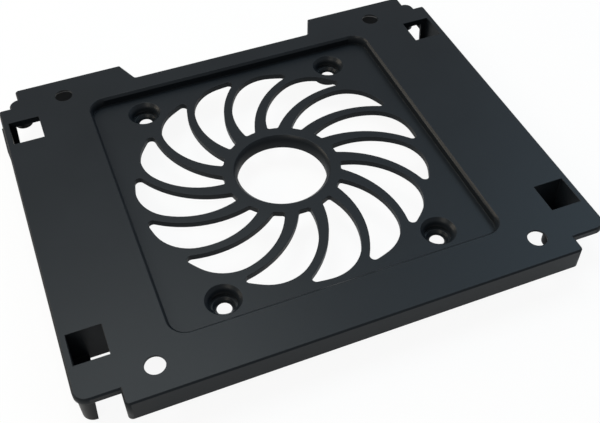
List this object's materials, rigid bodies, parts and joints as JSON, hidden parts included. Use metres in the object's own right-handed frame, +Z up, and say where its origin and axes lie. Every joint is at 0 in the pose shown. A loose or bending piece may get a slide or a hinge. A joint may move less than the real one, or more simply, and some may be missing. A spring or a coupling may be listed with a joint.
{
  "type": "drive bay adapter bracket",
  "caption": "Flat moulded bay bracket with a recessed swirl fan grille, hub bore, drive screw bosses, corner fan holes and short drafted legs.",
  "frame": {"origin": "on the axis of the hub bore, in the plane that the four legs stand on", "axes": "+X across the bay, towards the right-hand side; +Y from the front flange to the notched back edge; +Z up, out of the recessed face"},
  "size_m": [0.146, 0.1212, 0.0126],
  "materials": {
    "bracket_plastic": "satin, fine moulded grain"
  },
  "bodies": {
    "root": {"bay_adapter_bracket": "bracket_plastic"}
  },
  "joints": []
}
